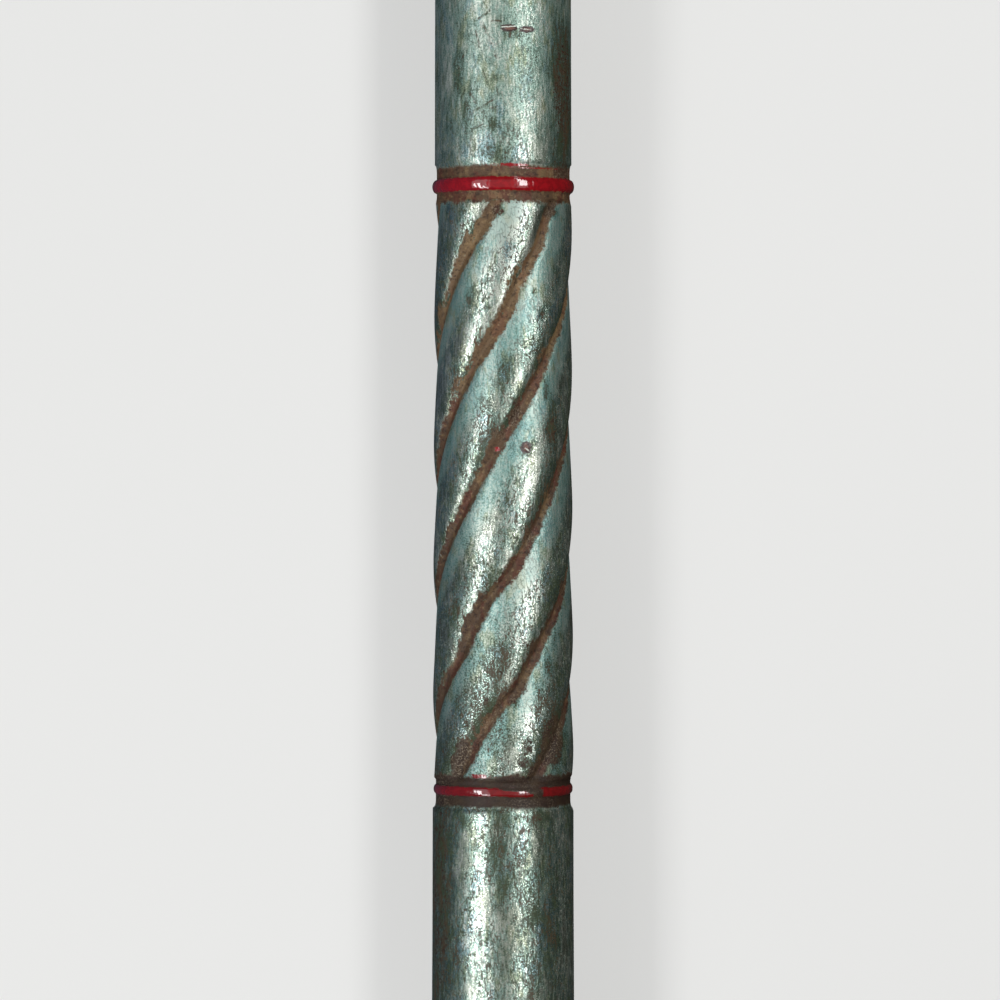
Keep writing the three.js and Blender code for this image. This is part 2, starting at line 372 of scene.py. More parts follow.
# Ranges over which one look gives way to another: the value where that starts, the one where it ends and,
# where they aren't 0 and 1, the shares at both. Places along the staff are from the shown middle.
BESIDE_GROOVE = (7.5, 2.0)
BESIDE_GROOVE_HUES = (0.44, 0.54)
CLEAN_AFTER_GROOVE = (0.5, 2.5)
CLEAN_UP_TO_RIDGE = (11.0, 6.0)
STRAY_BY_PAST_GROOVE = (OUT_OF_REACH - 2.0, OUT_OF_REACH - 1.0, 1.0, 0.45)
WOOD_EDGE = (-0.5, 0.45, 1.0, 0.0)
RED_EDGE = (-0.14, 0.14, 1.0, 0.0)
KNOT_EDGE = (1.0, 1.3, 1.0, 0.0)
KNOT_RIM_EDGE = (0.45, 0.8)
PIT_LEVELS = (0.71, 0.765)
PIT_TINTS = (0.42, 0.58)
CRACK_EDGE = (0.012, 0.05, 0.95, 0.0)
CRACK_HUES = (0.36, 0.5)
SCRATCH_FIBRES = (0.36, 0.54, 0.25, 0.9)
# Where the painted glints break up with the grit.
PAINTED_GLINT_GRIT = (0.4, 0.5)
PAINT_BLUE_HUES = (0.53, 0.63)
PAINT_BUFF_HUES = (0.47, 0.38)
PAINT_OLIVE_TINTS = (0.53, 0.64, 0.0, 0.6)
PAINT_PALE_LEVELS = (0.63, 0.53)
PAINT_DARK_LEVELS = (0.64, 0.72, 0.0, 0.9)
WOOD_RED_TINTS = (0.48, 0.6, 0.0, 0.75)
WOOD_TAN_BROAD = (0.52, 0.62, 0.0, 0.4)
WOOD_TAN_RAGGED = (0.56, 0.68, 0.0, 0.45)
WOOD_TAN_FROM = (10.0, 60.0, 0.0, 0.3)
WOOD_TAN_UP_TO = (76.0, 70.0)
WOOD_DARK_RAGGED = (0.46, 0.36, 0.0, 0.65)
WOOD_DARK_GRIT = (0.46, 0.36, 0.0, 0.4)
WOOD_DARK_WORN = (0.5, 0.8, 0.0, 0.55)
WORN_BUFF_GRIT = (0.54, 0.6, 0.0, 0.55)
RED_DEEP_RAGGED = (0.6, 0.4, 0.0, 0.45)
PAINT_ROUGHNESS_BY_GRIT = (0.35, 0.65, 0.22, 0.44)

# Strengths of the layers. A pair is for the plain finish and for the matt, clean or softer one.
GRAIN_FIBRE_SHARE = (0.4, 0.46)
PAINT_BLUE_STRENGTH = (0.6, 0.4)
PAINT_BUFF_STRENGTH = (0.45, 0.25)
PAINT_PALE_STRENGTH = (0.85, 0.45)
CRACK_STRENGTH = (1.0, 0.42)
PAINT_AQUA_STRENGTH = 0.75
OLIVE_BESIDE_GROOVE = 0.4
GRIME_ON_WOOD = 0.88
GRIME_ON_RED = 0.4

# How the surfaces shine. A finish is (roughness, varnish).
PAINT_METALLIC = (0.88, 0.78)
PAINT_VARNISH = (0.6, 0.2)
GLOSSY_VARNISH = 0.42
SOFTER_ROUGHNESS = 0.14
PIT_FINISH = (0.55, 0.18)
WOOD_FINISH = (0.6, 0.05)
RED_FINISH = (0.15, 0.8)
SPECULAR_LEVEL = 0.25
VARNISH_ROUGHNESS = 0.05
VARNISH_IOR = 1.8

# The finest relief, which is too small for the mesh, in millimetres. The others are shares of it.
FINE_RELIEF = 0.13
PIT_RELIEF = -0.1
WOOD_RELIEF = 1.3
WOOD_RELIEF_START = -0.2
GRIME_RELIEF = 0.45
GLOSSY_RELIEF = 0.68

# The camera looks straight down on the middle rope.
SHOWN_MIDDLE = 692.2
SHOWN_HEIGHT = 258
CAMERA_DISTANCE = 1300
CAMERA_SHIFT_LEFT = 0.8
CAMERA_REACH = 100000
SENSOR = 36

# The studio lights are long strips parallel to the staff, at the same distance. Each has its degrees from
# straight above towards +X, its width, its power in watts and its shift from the shown middle towards the
# head.
LIGHT_DISTANCE = 900
LIGHT_LENGTH = 1800
LEFT_LIGHT_DEGREES = -41
RIGHT_LIGHT_DEGREES = 33
LIGHTS = {
    "left_strip": (LEFT_LIGHT_DEGREES, 150, 9.5, -740),
    "left_panel": (LEFT_LIGHT_DEGREES, 430, 2.2, 0),
    "right_strip": (RIGHT_LIGHT_DEGREES, 160, 9, 690),
    "right_panel": (RIGHT_LIGHT_DEGREES, 350, 1.9, 0),
    "overhead": (0, 1000, 1.1, 0),
}

# The dim light from all round, bluer from the left, over these shares of the way to +X.
SKY_LEFT = srgb(150, 190, 240)
SKY_RIGHT = srgb(120, 122, 118)
SKY_RANGE = (-0.8, 0.2)
SKY_STRENGTH = 0.1

# The floor, which glows a little, and the far walls.
FLOOR_COLOUR = srgb(142, 142, 141)
FLOOR_GLOW = srgb(250, 250, 248)
FLOOR_GLOW_STRENGTH = 0.5
FLOOR_ROUGHNESS = 0.9
FLOOR_REACH = 30000
WALL_HEIGHT = 20000


def lay_out():
    """Gives each stretch's kind, start and end along the staff, from the foot."""
    rope = [("ring", RING_LENGTH), ("rope", ROPE_LENGTH), ("ring", RING_LENGTH)]
    head = FLARE_LENGTH + COLLAR_LIP_LENGTH + HEAD_BEAD_LENGTH + WAIST_LENGTH + KNOP_LENGTH
    order = [
        ("foot", FOOT_LENGTH),
        ("ring", RING_LENGTH),
        ("plain", LOWEST_PLAIN_LENGTH),
        *rope,
        ("plain", MIDDLE_PLAIN_LENGTH),
        *rope,
        ("plain", MIDDLE_PLAIN_LENGTH),
        *rope,
        ("plain", NECK_PLAIN_LENGTH),
        ("ring", RING_LENGTH),
        ("head", head),
    ]
    made, start = [], 0.0
    for kind, length in order:
        made.append((kind, start, start + length))
        start += length
    return made


STRETCHES = lay_out()
ROPES = [(start, end) for kind, start, end in STRETCHES if kind == "rope"]
RINGS = [(start, end) for kind, start, end in STRETCHES if kind == "ring"]
STAFF_LENGTH = STRETCHES[-1][2]
HEAD_AT = STRETCHES[-1][1]
COLLAR_BEAD_AT = HEAD_AT + FLARE_LENGTH + COLLAR_LIP_LENGTH
COLLAR_BEAD = (COLLAR_BEAD_AT, COLLAR_BEAD_AT + HEAD_BEAD_LENGTH)
BELLY_AT = ROPES[0][1] + RING_LENGTH / 2
FOOT_WIDEST_AT = FOOT_ROUNDING_LENGTH + FOOT_LAND_LENGTH / 2
KNOP_WIDEST_AT = STAFF_LENGTH - KNOP_LENGTH * (1 - KNOP_WIDEST_SHARE)
TILT = math.atan2((KNOP_DIAMETER - FOOT_DIAMETER) / 2, KNOP_WIDEST_AT - FOOT_WIDEST_AT)
SHOWN_Y = SHOWN_MIDDLE - STAFF_LENGTH / 2
AXIS_HEIGHT = FOOT_DIAMETER / 2 - REST_FLAT_DEPTH + (SHOWN_MIDDLE - FOOT_WIDEST_AT) * math.sin(TILT)


def clamp01(value):
    return np.clip(value, 0.0, 1.0)


def mix(low, high, share):
    return low + (high - low) * share


def smooth_step(value, low, high):
    share = clamp01((value - low) / (high - low))
    return share * share * (3 - 2 * share)


def wobble(x, y, z):
    """Smooth noise of about -1 to 1 at each place, the same on each run."""
    places = np.stack(np.broadcast_arrays(x, y, z), axis=-1)
    flat = [noise.noise(Vector(place)) for place in places.reshape(-1, 3).tolist()]
    return np.array(flat).reshape(places.shape[:-1])


def shaft_radius(at):
    """The uncarved shaft: eased up from the ankle to the belly, then a straight taper to the neck."""
    rising = np.sin(clamp01((at - FOOT_LENGTH) / (BELLY_AT - FOOT_LENGTH)) * math.pi / 2)
    thinning = clamp01((at - BELLY_AT) / (HEAD_AT - BELLY_AT))
    diameter = np.where(
        at < BELLY_AT,
        mix(ANKLE_DIAMETER, BELLY_DIAMETER, rising),
        mix(BELLY_DIAMETER, NECK_DIAMETER, thinning),
    )
    return diameter / 2


def quarter_ellipse(share):
    """Height of a quarter of an ellipse that starts upright and ends flat, both from 0 to 1."""
    return np.sqrt(clamp01(1 - (1 - clamp01(share)) ** 2))


def turned_curve(points, at):
    """A Bezier curve with (distance, radius) points, read as the radius at each distance."""
    share = np.linspace(0, 1, CURVE_SAMPLES)[:, None]
    curve = [np.array(point, float) for point in points]
    while len(curve) > 1:
        curve = [mix(a, b, share) for a, b in zip(curve, curve[1:])]
    return np.interp(at, curve[0][:, 0], curve[0][:, 1])


def foot_radius(at):
    widest, ankle, end = FOOT_DIAMETER / 2, ANKLE_DIAMETER / 2, FOOT_END_DIAMETER / 2
    land_end = FOOT_ROUNDING_LENGTH + FOOT_LAND_LENGTH
    halfway = (land_end + FOOT_LENGTH) / 2
    rounding = mix(end, widest, quarter_ellipse(at / FOOT_ROUNDING_LENGTH))
    taper = turned_curve([(land_end, widest), (halfway, widest), (halfway, ankle), (FOOT_LENGTH, ankle)], at)
    return np.where(at < land_end, rounding, taper)


def head_radius(at):
    neck, collar, waist = NECK_DIAMETER / 2, COLLAR_DIAMETER / 2, WAIST_DIAMETER / 2
    widest, tip = KNOP_DIAMETER / 2, KNOP_TIP_DIAMETER / 2
    lip = HEAD_AT + FLARE_LENGTH
    bead = lip + COLLAR_LIP_LENGTH
    waist_start = bead + HEAD_BEAD_LENGTH
    knop_start = waist_start + WAIST_LENGTH
    bend = mix(HEAD_AT, lip, FLARE_BEND_SHARE)
    flare = turned_curve([(HEAD_AT, neck), (bend, neck), (lip, collar)], at)
    across_bead = (at - bead) / HEAD_BEAD_LENGTH * 2 - 1
    bead_arc = collar - COLLAR_STEP + COLLAR_STEP * np.sqrt(clamp01(1 - across_bead**2))
    third = WAIST_LENGTH / 3
    hollow_top = collar - 2 * COLLAR_STEP
    hollow_points = [
        (waist_start, hollow_top),
        (waist_start + third, waist),
        (knop_start - third, waist),
        (knop_start, waist),
    ]
    hollow = turned_curve(hollow_points, at)
    swell = mix(waist, widest, quarter_ellipse((at - knop_start) / (KNOP_WIDEST_AT - knop_start)))
    close = mix(tip, widest, quarter_ellipse((STAFF_LENGTH - at) / (STAFF_LENGTH - KNOP_WIDEST_AT)))
    stretches = [at < lip, at < bead, at < waist_start, at < knop_start, at < KNOP_WIDEST_AT]
    return np.select(stretches, [flare, collar + 0 * at, bead_arc, hollow, swell], close)


def turned_radius(at):
    """The whole staff's radius before its ropes and rings are carved."""
    return np.select([at < FOOT_LENGTH, at > HEAD_AT], [foot_radius(at), head_radius(at)], shaft_radius(at))


def turn_at(at):
    """How far the grooves have turned. They stand still between the ropes."""
    turn = MIDDLE_ROPE_PHASE * STRAND_ANGLE - ROPE_TURN + 0 * at
    for start, end in ROPES:
        share = clamp01((at - start) / (end - start))
        turn = turn + ROPE_TURN * (share + ROPE_QUICKENING * share * (1 - share))
    return turn


def in_rope(at):
    """1 in the rope-carved stretches and 0 outside them."""
    return np.max([(at >= start) & (at <= end) for start, end in ROPES], axis=0).astype(float)


def ring_spans():
    """Each ring's ends and its bead's ends along the staff. The middle rope's rings have their own parts."""
    middle_start, middle_end = ROPES[1]
    spans = []
    for start, end in RINGS:
        low_cove, bead, high_cove = RING_PARTS
        if abs(end - middle_start) < RING_LENGTH / 2:
            low_cove, bead, high_cove = RING_PARTS_BELOW_MIDDLE_ROPE
            start = end - low_cove - bead - high_cove
        if abs(start - middle_end) < RING_LENGTH / 2:
            low_cove, bead, high_cove = RING_PARTS_ABOVE_MIDDLE_ROPE
        spans.append((start, start + low_cove, start + low_cove + bead, start + low_cove + bead + high_cove))
    return spans


def row_places():
    """Where the mesh's rows lie along the staff: each stretch has its step, and a finer one where shown."""
    spans = [*ring_spans(), COLLAR_BEAD]
    edges = [0, FOOT_LENGTH, HEAD_AT, STAFF_LENGTH, *SHOWN_STRETCH]
    edges += [edge for span in spans + ROPES for edge in span]
    edges = sorted({round(edge, 6) for edge in edges})
    places = []
    for start, end in zip(edges, edges[1:]):
        middle = (start + end) / 2
        shown = SHOWN_STRETCH[0] < middle < SHOWN_STRETCH[1]
        ring = any(span[0] < middle < span[-1] for span in spans)
        kind = "ring" if ring else next(kind for kind, low, high in STRETCHES if low <= middle < high)
        step = ROW_STEPS[kind]
        if shown:
            step = SHOWN_RING_ROW_STEP if ring else SHOWN_ROW_STEP
        places.extend(np.linspace(start, end, max(1, round((end - start) / step)) + 1)[:-1])
    return np.array([*places, STAFF_LENGTH])


def groove_stray(groove, at):
    """How far a groove lies from its even place, round the staff in millimetres."""
    stray = GROOVE_WANDER * wobble(at / GROOVE_WANDER_LENGTH, groove * WANDER_SEPARATION, 0.0)
    places, strays = zip(*GROOVE_STRAYS[groove])
    middle_start, middle_end = ROPES[1]
    on_middle = (at >= middle_start) & (at <= middle_end)
    return stray + np.where(on_middle, np.interp(at, places, strays), 0.0)


def groove_grid(at):
    """Each column's angle round the staff in each row, with how far past its strand's first groove and
    how far before its last one it lies, in millimetres round the staff."""
    columns = STRANDS * COLUMNS_PER_STRAND
    column = np.arange(columns)[None, :]
    share = (column % COLUMNS_PER_STRAND) / COLUMNS_PER_STRAND
    near = [smooth_step(at, a - RING_LENGTH, a) * smooth_step(-at, -b - RING_LENGTH, -b) for a, b in ROPES]
    crowding = GROOVE_CROWDING * np.max(near, axis=0)
    place = column // COLUMNS_PER_STRAND + share - crowding * np.sin(2 * math.pi * share) / (2 * math.pi)
    radius = turned_radius(at)
    girth = 2 * math.pi * radius
    past = [
        np.mod((place - groove) * STRAND_ANGLE * radius - groove_stray(groove, at), girth)
        for groove in range(STRANDS)
    ]
    return place * STRAND_ANGLE + turn_at(at), np.min(past, axis=0), girth - np.max(past, axis=0)


def strand_fall(across):
    """How far a strand has fallen from its ridge, from 0 to 1: a long slope up to it and a round fall."""
    slope = clamp01((RIDGE_SHARE - across) / RIDGE_SHARE)
    fall = clamp01((across - RIDGE_SHARE) / (1 - RIDGE_SHARE))
    return slope**2 * (1 + RIDGE_SOFTNESS) / (slope + RIDGE_SOFTNESS) + fall**2


def rope_depth(past, before, at, angle):
    """Depth of the rope carving: a strand with its ridge, and a groove gouged steeper where it ends."""
    uneven = 1 + GROOVE_UNEVENNESS * wobble(at / GROOVE_WANDER_LENGTH, np.sin(angle), np.cos(angle))
    reach = np.minimum(before / GOUGE_NEAR_WIDTH, past / GOUGE_FAR_WIDTH)
    groove = GROOVE_DEPTH * np.exp(-(reach**2))
    return in_rope(at) * (STRAND_ROUNDING * strand_fall(past / (past + before)) + groove * uneven)


def ring_form(low, high):
    """The form of the ring with these ends."""
    middle_start, middle_end = ROPES[1]
    if abs(high - middle_start) < RING_LENGTH / 2:
        return RING_FORM_BELOW_MIDDLE_ROPE
    if abs(low - middle_end) < RING_LENGTH / 2:
        return RING_FORM_ABOVE_MIDDLE_ROPE
    return RING_FORM


def ring_depth(at):
    """Depth of the rings' coves, negative on the beads that stand proud."""
    depth = 0 * at
    for low, bead_low, bead_high, high in ring_spans():
        cove_depth, bead_rise, _, _ = ring_form(low, high)
        low_cove = quarter_ellipse((at - low) / (bead_low - low) / COVE_WALL_SHARE)
        high_cove = quarter_ellipse((high - at) / (high - bead_high) / COVE_WALL_SHARE)
        cove = cove_depth * np.minimum(low_cove, high_cove)
        across = (2 * at - bead_low - bead_high) / (bead_high - bead_low)
        bead = (cove_depth + bead_rise) * np.sqrt(clamp01(1 - across**2))
        depth = np.where((at > low) & (at < high), cove - bead, depth)
    return depth


def reach_of(mark, at, angle, radius):
    """How far each place is from a mark's middle: 0 there and 1 at the mark's edge."""
    middle_at, degrees, half_across, half_along = mark[:4]
    round_by = (angle - math.radians(degrees) + math.pi) % (2 * math.pi) - math.pi
    return np.hypot(round_by * radius / half_across, (at - middle_at) / half_along)


def dent_depth(at, angle, radius):
    """Depth of the dents, each a bowl with a low raised rim."""
    depth = 0 * angle
    for dent in DENTS:
        reach = reach_of(dent, at, angle, radius)
        bowl = clamp01(1 - reach**2) ** 2
        rim = RIM_SHARE * np.exp(-(((reach - RIM_REACH) / RIM_WIDTH) ** 2))
        depth = depth + dent[-1] * (bowl - rim)
    return depth


def grime_share(at):
    """How grimy the staff is, from 0 on the head's side. Grime settles most in the rings."""
    share = smooth_step(-at, -GRIME_STRETCH[1], -GRIME_STRETCH[0])
    spans = [(low - GRIME_SPILL, high + GRIME_SPILL) for low, _, _, high in ring_spans()]
    in_ring = np.max([(at > low) & (at < high) for low, high in spans], axis=0)
    return share * np.where(in_ring, 1.0, SMOOTH_GRIME)


def knot_reach(at, angle, radius):
    """How far each place is from the nearest knot: 0 in its middle and 1 at its rim."""
    return np.minimum(KNOT_REACH, np.min([reach_of(knot, at, angle, radius) for knot in KNOTS], axis=0))


def patches_share(patches, at, angle, radius):
    """The strongest of some patches at each place, fading out at their edges."""
    strongest = 0 * angle
    for patch in patches:
        reach = reach_of(patch, at, angle, radius)
        strongest = np.maximum(strongest, patch[-1] * (1 - smooth_step(reach, *PATCH_FADE)))
    return strongest


def bare_distance(at, past, before):
    """Distance in millimetres from the edge of the bare wood, negative inside its grooves and coves."""
    spread = smooth_step(-at, -SPREAD_STRETCH[1], -SPREAD_STRETCH[0])
    band = GROOVE_BAND_HALF_WIDTH + GROOVE_BAND_SPREAD * spread
    from_band = np.minimum(past - GROOVE_BAND_MIDDLE, before + GROOVE_BAND_MIDDLE)
    distance = np.where(in_rope(at) > 0, from_band - band, EDGE_REACH)
    for low, _, _, high in ring_spans():
        _, _, low_lip, high_lip = ring_form(low, high)
        distance = np.minimum(distance, np.maximum(low - at + low_lip, at - high + high_lip))
    return np.clip(distance, -EDGE_REACH, EDGE_REACH)


def red_distance(at, angle, radius):
    """Distance in millimetres from the edge of the red paint, negative inside it."""
    distance = EDGE_REACH + 0 * angle
    beads = [(low, high) for _, low, high, _ in ring_spans()]
    for low, high in [*beads, COLLAR_BEAD]:
        half = RED_SHARE * (high - low) / 2
        distance = np.minimum(distance, np.abs(at - (low + high) / 2) - half)
    for stroke in RED_STROKES:
        half_across, half_along = stroke[2:]
        reach = reach_of(stroke, at, angle, radius)
        distance = np.minimum(distance, (reach - 1) * min(half_across, half_along))
    for gap in RED_GAPS:
        reach = reach_of(gap, at, angle, radius)
        distance = np.maximum(distance, 1 - reach)
    return np.clip(distance, -EDGE_REACH, EDGE_REACH)


def lay_down(across, at, up):
    """Lays the staff as the CAD one lies: on the flats under its foot and its knop, centred along Y."""
    turned_at = (at - FOOT_WIDEST_AT) * math.cos(TILT) - up * math.sin(TILT)
    turned_up = (at - FOOT_WIDEST_AT) * math.sin(TILT) + up * math.cos(TILT)
    foot_end_y = -FOOT_WIDEST_AT * math.cos(TILT) - FOOT_END_DIAMETER / 2 * math.sin(TILT)
    y = turned_at - foot_end_y + cad_low.y / MM
    z = np.maximum(turned_up + FOOT_DIAMETER / 2 - REST_FLAT_DEPTH, 0)
    return np.stack([across, y, z], axis=-1)


def staff_surface():
    """The carved surface's points in millimetres, as rows of columns, and what its material reads there."""
    at = row_places()[:, None]
    angle, past, before = groove_grid(at)
    outer = turned_radius(at)
    wander = RING_WANDER * wobble(np.sin(angle), np.cos(angle), at / RING_LENGTH)
    waver = wobble(
        np.sin(angle) * outer / WAVER_ACROSS,
        np.cos(angle) * outer / WAVER_ACROSS,
        at / WAVER_ALONG,
    )
    on_head = smooth_step(at, HEAD_AT, HEAD_AT + FLARE_LENGTH)
    depth = (
        rope_depth(past, before, at, angle)
        + ring_depth(at + wander)
        + WAVER_DEPTH * (0.5 + 0.5 * waver + HEAD_SLACK * on_head)
        + dent_depth(at, angle, outer)
    )
    radius = outer - np.maximum(depth, -HIGHEST_RISE)
    points = lay_down(radius * np.sin(angle), at + 0 * angle, radius * np.cos(angle))
    read = {
        "bare": bare_distance(at + wander, past, before),
        "red": red_distance(at + wander, angle, outer),
        "past_groove": np.where(in_rope(at) > 0, past, OUT_OF_REACH),
        "before_groove": np.where(in_rope(at) > 0, before, OUT_OF_REACH),
        "worn": patches_share(WORN_PATCHES, at, angle, outer),
        # Fresh paint, and paint painted paler as highlights.
        "fresh_and_highlit": patches_share(FRESH_AND_HIGHLIT_PATCHES, at, angle, outer),
        "grime": grime_share(at) + 0 * angle,
        "knot": knot_reach(at, angle, outer),
    }
    return points, read


def make_staff():
    """One closed mesh: the carved surface with a flat end at the foot and at the knop's tip."""
    points, read = staff_surface()
    rows, columns = points.shape[:2]
    corner = np.arange(rows * columns).reshape(rows, columns)
    beside = np.roll(corner, -1, axis=1)
    quads = np.stack([corner[:-1], beside[:-1], beside[1:], corner[1:]], axis=-1).reshape(-1, 4)
    faces = [*quads.tolist(), corner[0][::-1].tolist(), corner[-1].tolist()]
    mesh = bpy.data.meshes.new("carved_staff")
    mesh.from_pydata((points.reshape(-1, 3) * MM).tolist(), [], faces)
    for name, values in read.items():
        layer = mesh.attributes.new(name, "FLOAT", "POINT")
        layer.data.foreach_set("value", np.broadcast_to(values, (rows, columns)).ravel().astype(np.float32))
    mesh.shade_smooth()
    mesh.validate()
    staff = bpy.data.objects.new("carved_staff", mesh)
    bpy.context.collection.objects.link(staff)
    return staff


class Nodes:
    """Builds a material's or the world's nodes. Each call adds one node or a few and gives the last output."""

    def __init__(self, owner):
        owner.use_nodes = True
        self.tree = owner.node_tree
        self.tree.nodes.clear()

    def add(self, kind, inputs=(), output=0, **settings):
        """output=None is for the last node, which has none."""
        made = self.tree.nodes.new(kind)
        for name, value in settings.items():
            setattr(made, name, value)
        for name, value in dict(inputs).items():
            if isinstance(value, bpy.types.NodeSocket):
                self.tree.links.new(value, made.inputs[name])
            else:
                made.inputs[name].default_value = value
        return None if output is None else made.outputs[output]

    def math(self, operation, *values):
        return self.add("ShaderNodeMath", enumerate(values), operation=operation)

    def times(self, *values):
        product = values[0]
        for value in values[1:]:
            product = self.math("MULTIPLY", product, value)
        return product

    def weigh(self, on, weights, start):
        """Adds the named values to a start, each times its weight."""
        for name, weight in weights.items():
            start = self.math("MULTIPLY_ADD", getattr(on, name), weight, start)
        return start

    def stretch(self, coordinates, scale):
        """Coordinates times a scale for each axis."""
        return self.add("ShaderNodeVectorMath", {0: coordinates, 1: scale}, operation="MULTIPLY")

    def noise(self, coordinates, scale, detail, roughness, distortion):
        inputs = {"Vector": coordinates, "Scale": scale, "Detail": detail, "Roughness": roughness}
        return self.add("ShaderNodeTexNoise", {**inputs, "Distortion": distortion})

    def read(self, name):
        return self.add("ShaderNodeAttribute", output="Fac", attribute_name=name)

    def ramp(self, value, low, high, to_low=0.0, to_high=1.0):
        """A smooth step between two values."""
        inputs = {"Value": value, "From Min": low, "From Max": high, "To Min": to_low, "To Max": to_high}
        return self.add("ShaderNodeMapRange", inputs, interpolation_type="SMOOTHSTEP")

    def mix(self, share, low, high):
        return self.add("ShaderNodeMix", {0: share, 2: low, 3: high}, data_type="FLOAT")

    def mix_colour(self, share, low, high):
        return self.add("ShaderNodeMix", {0: share, 6: low, 7: high}, output=2, data_type="RGBA")

    def over(self, colour, *layers):
        """Lays (share, colour) layers over a colour, one after the other."""
        for share, layer in layers:
            colour = self.mix_colour(share, colour, layer)
        return colour


def stroke_share(nodes, x, y, start, end, half_width):
    """1 on a thin straight stroke between two points and 0 away from it."""
    (x0, y0), (x1, y1) = start, end
    length = math.hypot(x1 - x0, y1 - y0)
    along_x, along_y = (x1 - x0) / length, (y1 - y0) / length
    from_x = nodes.math("SUBTRACT", x, x0)
    from_y = nodes.math("SUBTRACT", y, y0)
    along = nodes.math("MULTIPLY_ADD", from_x, along_x, nodes.math("MULTIPLY", from_y, along_y))
    aside = nodes.math("MULTIPLY_ADD", from_x, -along_y, nodes.math("MULTIPLY", from_y, along_x))
    from_middle = nodes.math("ABSOLUTE", nodes.math("SUBTRACT", along, length / 2))
    past_end = nodes.math("SUBTRACT", from_middle, length / 2)
    distance = nodes.math("MAXIMUM", nodes.math("ABSOLUTE", aside), past_end)
    fade_start, fade_end = STROKE_FADE
    return nodes.ramp(distance, half_width * fade_start, half_width * fade_end, 1.0, 0.0)


def strokes_share(nodes, x, y, z, strokes):
    """1 on any of some strokes on the staff's upper side and 0 elsewhere."""
    marked = 0.0
    for stroke in strokes:
        marked = nodes.math("MAXIMUM", stroke_share(nodes, x, y, *stroke), marked)
    return nodes.math("MULTIPLY", marked, nodes.math("GREATER_THAN", z, AXIS_HEIGHT))


def read_staff(nodes):
    """What the parts of the material share: the place on the staff in millimetres, the noises, what the mesh
    carries, and how far the finish is glossy, matt, clean or beside a groove."""
    mm = nodes.stretch(nodes.add("ShaderNodeTexCoord", output="Object"), (1 / MM,) * 3)
    x = nodes.add("ShaderNodeSeparateXYZ", {0: mm}, output="X")
    y, z = x.node.outputs["Y"], x.node.outputs["Z"]
    on = SimpleNamespace(x=x, z=z, shown_y=nodes.math("SUBTRACT", y, SHOWN_Y))
    for name, (stretch, *settings) in NOISES.items():
        setattr(on, name, nodes.noise(nodes.stretch(mm, stretch), *settings))
    for name in CARRIED:
        setattr(on, name, nodes.read(name))
    on.mottle = nodes.math("SUBTRACT", on.ragged, NOISE_MIDDLE)
    on.glossy = nodes.ramp(on.shown_y, *[at - SHOWN_MIDDLE for at in GLOSSY_STRETCH])
    on.matt = nodes.ramp(on.shown_y, *[at - SHOWN_MIDDLE for at in MATT_STRETCH])
    near = nodes.ramp(on.before_groove, *BESIDE_GROOVE)
    on.beside_groove = nodes.times(near, nodes.ramp(on.hue, *BESIDE_GROOVE_HUES))
    after = nodes.ramp(on.past_groove, *CLEAN_AFTER_GROOVE)
    on.clean = nodes.times(after, nodes.ramp(on.past_groove, *CLEAN_UP_TO_RIDGE))
    on.softer = nodes.math("MAXIMUM", on.matt, on.clean)
    on.grain = nodes.mix(nodes.mix(on.matt, *GRAIN_FIBRE_SHARE), on.grit, on.fibre)
    return on


def wood_edge(nodes, on):
    """Distance in millimetres from the edge of the bare wood: in the carving, in patches beside the grooves
    and where the paint is worn through."""
    stray = nodes.weigh(on, WOOD_STRAY, WOOD_STRAY_START)
    edge = nodes.math("MULTIPLY_ADD", stray, nodes.ramp(on.past_groove, *STRAY_BY_PAST_GROOVE), on.bare)
    patches = nodes.weigh(on, PATCH_STRAY, PATCH_STRAY_START)
    edge = nodes.math("MULTIPLY_ADD", patches, on.beside_groove, edge)
    return nodes.math("MINIMUM", edge, nodes.weigh(on, WORN_STRAY, WORN_STRAY_START))


def wear_level(nodes, on):
    """How dark and worn the paint is. Grime adds dark and light stains above the glossy stretch."""
    level = nodes.weigh(on, LEVEL_BY_GRAIN, LEVEL_START)
    level = nodes.mix(nodes.times(on.softer, LEVEL_SOFTENING), level, LEVEL_MIDDLE)
    level = nodes.weigh(on, LEVEL_BY_PLACE, level)
    stained = nodes.times(on.grime, nodes.math("SUBTRACT", 1.0, on.glossy))
    return nodes.math("MULTIPLY_ADD", stained, nodes.weigh(on, STAIN_BY_GRIT, STAIN_START), level)


def paint_damage(nodes, on):
    """The share of pits and cracks, and the share of these and the scratches."""
    from_crack = nodes.math("ABSOLUTE", nodes.math("SUBTRACT", on.cracks, NOISE_MIDDLE))
    cracked = nodes.times(nodes.mix(on.softer, *CRACK_STRENGTH), nodes.ramp(on.hue, *CRACK_HUES))
    cracks = nodes.times(nodes.ramp(from_crack, *CRACK_EDGE), cracked)
    pits = nodes.math("MAXIMUM", nodes.ramp(on.level, *PIT_LEVELS), cracks)
    x = nodes.math("MULTIPLY_ADD", on.mottle, SCRATCH_WOBBLE, on.x)
    y = nodes.math("MULTIPLY_ADD", nodes.math("SUBTRACT", on.tint, NOISE_MIDDLE), SCRATCH_WOBBLE, on.shown_y)
    broken = nodes.ramp(on.fibre, *SCRATCH_FIBRES)
    scratches = nodes.times(strokes_share(nodes, x, y, on.z, SCRATCHES), broken)
    return pits, nodes.math("MAXIMUM", pits, scratches)


